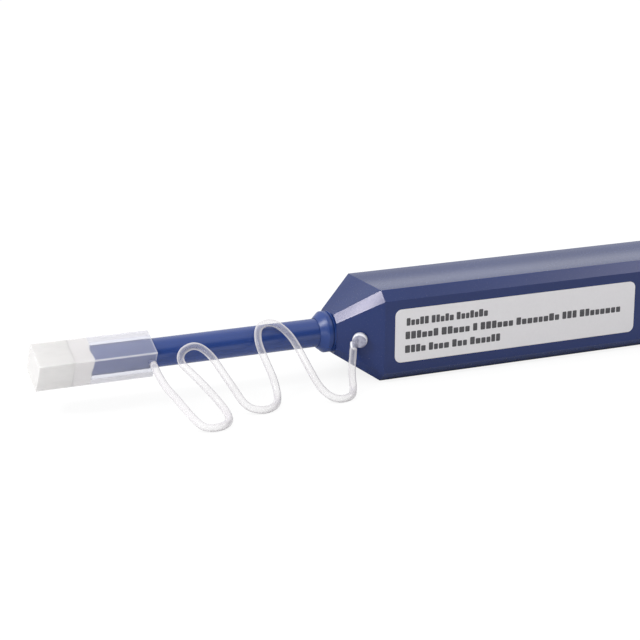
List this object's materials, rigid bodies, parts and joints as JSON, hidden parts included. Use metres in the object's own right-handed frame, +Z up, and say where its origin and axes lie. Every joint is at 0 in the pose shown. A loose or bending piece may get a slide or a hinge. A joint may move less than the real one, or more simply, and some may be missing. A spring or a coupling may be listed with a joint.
{
  "type": "fibre connector cleaning pen",
  "caption": "Slim push-to-clean pen for fibre connectors: square case with a pyramid nose, sliding nozzle, thread reels inside, a tethered guide cap and its lid.",
  "frame": {"origin": "bottom centre of the box round the pen without its tether: midway along the pen, on the plane that it lies on", "axes": "+X along the pen from the guide cap to the rear, +Z up, +Y to the back face (the label faces -Y)"},
  "size_m": [0.23, 0.032, 0.018],
  "materials": {
    "case_blue": "moulded ABS, satin",
    "collar_blue": "moulded, polished",
    "nozzle_blue": "moulded, glossy",
    "tip_white": "moulded",
    "clear_plastic": "frosted translucent",
    "tether_clear": "flexible, translucent",
    "label_paper": "coated",
    "carrier_grey": "moulded",
    "gear_white": "moulded acetal",
    "steel": "bright",
    "thread_white": "fine polyester",
    "felt": "felt"
  },
  "bodies": {
    "case": {"case_shell": "case_blue", "rear_cap": "case_blue", "nose_collar": "collar_blue", "turning_pin": "steel", "drive_rack": "gear_white", "label": "label_paper", "tether_peg": "tether_clear", "tether": "tether_clear"},
    "cartridge": {"nozzle_tube": "nozzle_blue", "nozzle_tip": "tip_white", "carrier_base": "carrier_grey", "carrier_cover": "carrier_grey", "carrier_screws": "steel", "guide_pins": "steel", "brake_washer": "felt", "stop_pawl": "gear_white", "cleaning_thread": "thread_white", "return_spring": "steel", "tip_spring": "steel"},
    "tip_slide": {"tip_bearing": "gear_white"},
    "tip_rotor": {"tip_shaft": "gear_white", "tip_head": "tip_white"},
    "pinion": {"drive_pinion": "gear_white"},
    "takeup": {"takeup_reel": "gear_white", "used_thread": "thread_white"},
    "supply": {"supply_reel": "gear_white", "fresh_thread": "thread_white"},
    "cap": {"guide_cap": "clear_plastic"},
    "lid": {"cap_lid": "clear_plastic"}
  },
  "joints": [
    {"name": "push_stroke", "type": "slide", "parent": "case", "child": "cartridge", "axis": [1, 0, 0], "range_m": [0, 0.01], "stiffness_N_per_m": 250, "springref_m": -0.02, "deforming": ["return_spring", "tether"]},
    {"name": "tip_press", "type": "slide", "parent": "cartridge", "child": "tip_slide", "axis": [1, 0, 0], "range_m": [0, 0.0008], "stiffness_N_per_m": 500, "springref_m": -0.002, "deforming": ["tip_spring"]},
    {"name": "tip_turn", "type": "hinge", "parent": "tip_slide", "child": "tip_rotor", "pos_m": [-0.0408, 0, 0.009], "axis": [1, 0, 0], "range_deg": [-180.01, 0]},
    {"name": "pinion_spin", "type": "hinge", "parent": "cartridge", "child": "pinion", "pos_m": [0.028, 0, 0.009], "axis": [0, 1, 0], "range_deg": [0, 143.3]},
    {"name": "takeup_spin", "type": "hinge", "parent": "cartridge", "child": "takeup", "pos_m": [0.028, 0, 0.009], "axis": [0, 1, 0], "range_deg": [0, 143.3], "deforming": ["stop_pawl"]},
    {"name": "supply_spin", "type": "hinge", "parent": "cartridge", "child": "supply", "pos_m": [0.012, 0, 0.009], "axis": [0, 1, 0], "range_deg": [0, 93.5]},
    {"name": "cap_pull", "type": "slide", "parent": "cartridge", "child": "cap", "axis": [-1, 0, 0], "range_m": [0, 0.016], "deforming": ["tether"]},
    {"name": "lid_pull", "type": "slide", "parent": "cap", "child": "lid", "axis": [-1, 0, 0], "range_m": [0, 0.01]}
  ],
  "couplings": [
    {"joint": "tip_turn", "follows": "push_stroke", "rad_per_m": -314.16},
    {"joint": "pinion_spin", "follows": "push_stroke", "rad_per_m": 250},
    {"joint": "takeup_spin", "follows": "push_stroke", "rad_per_m": 250},
    {"joint": "supply_spin", "follows": "push_stroke", "rad_per_m": 163.04}
  ]
}
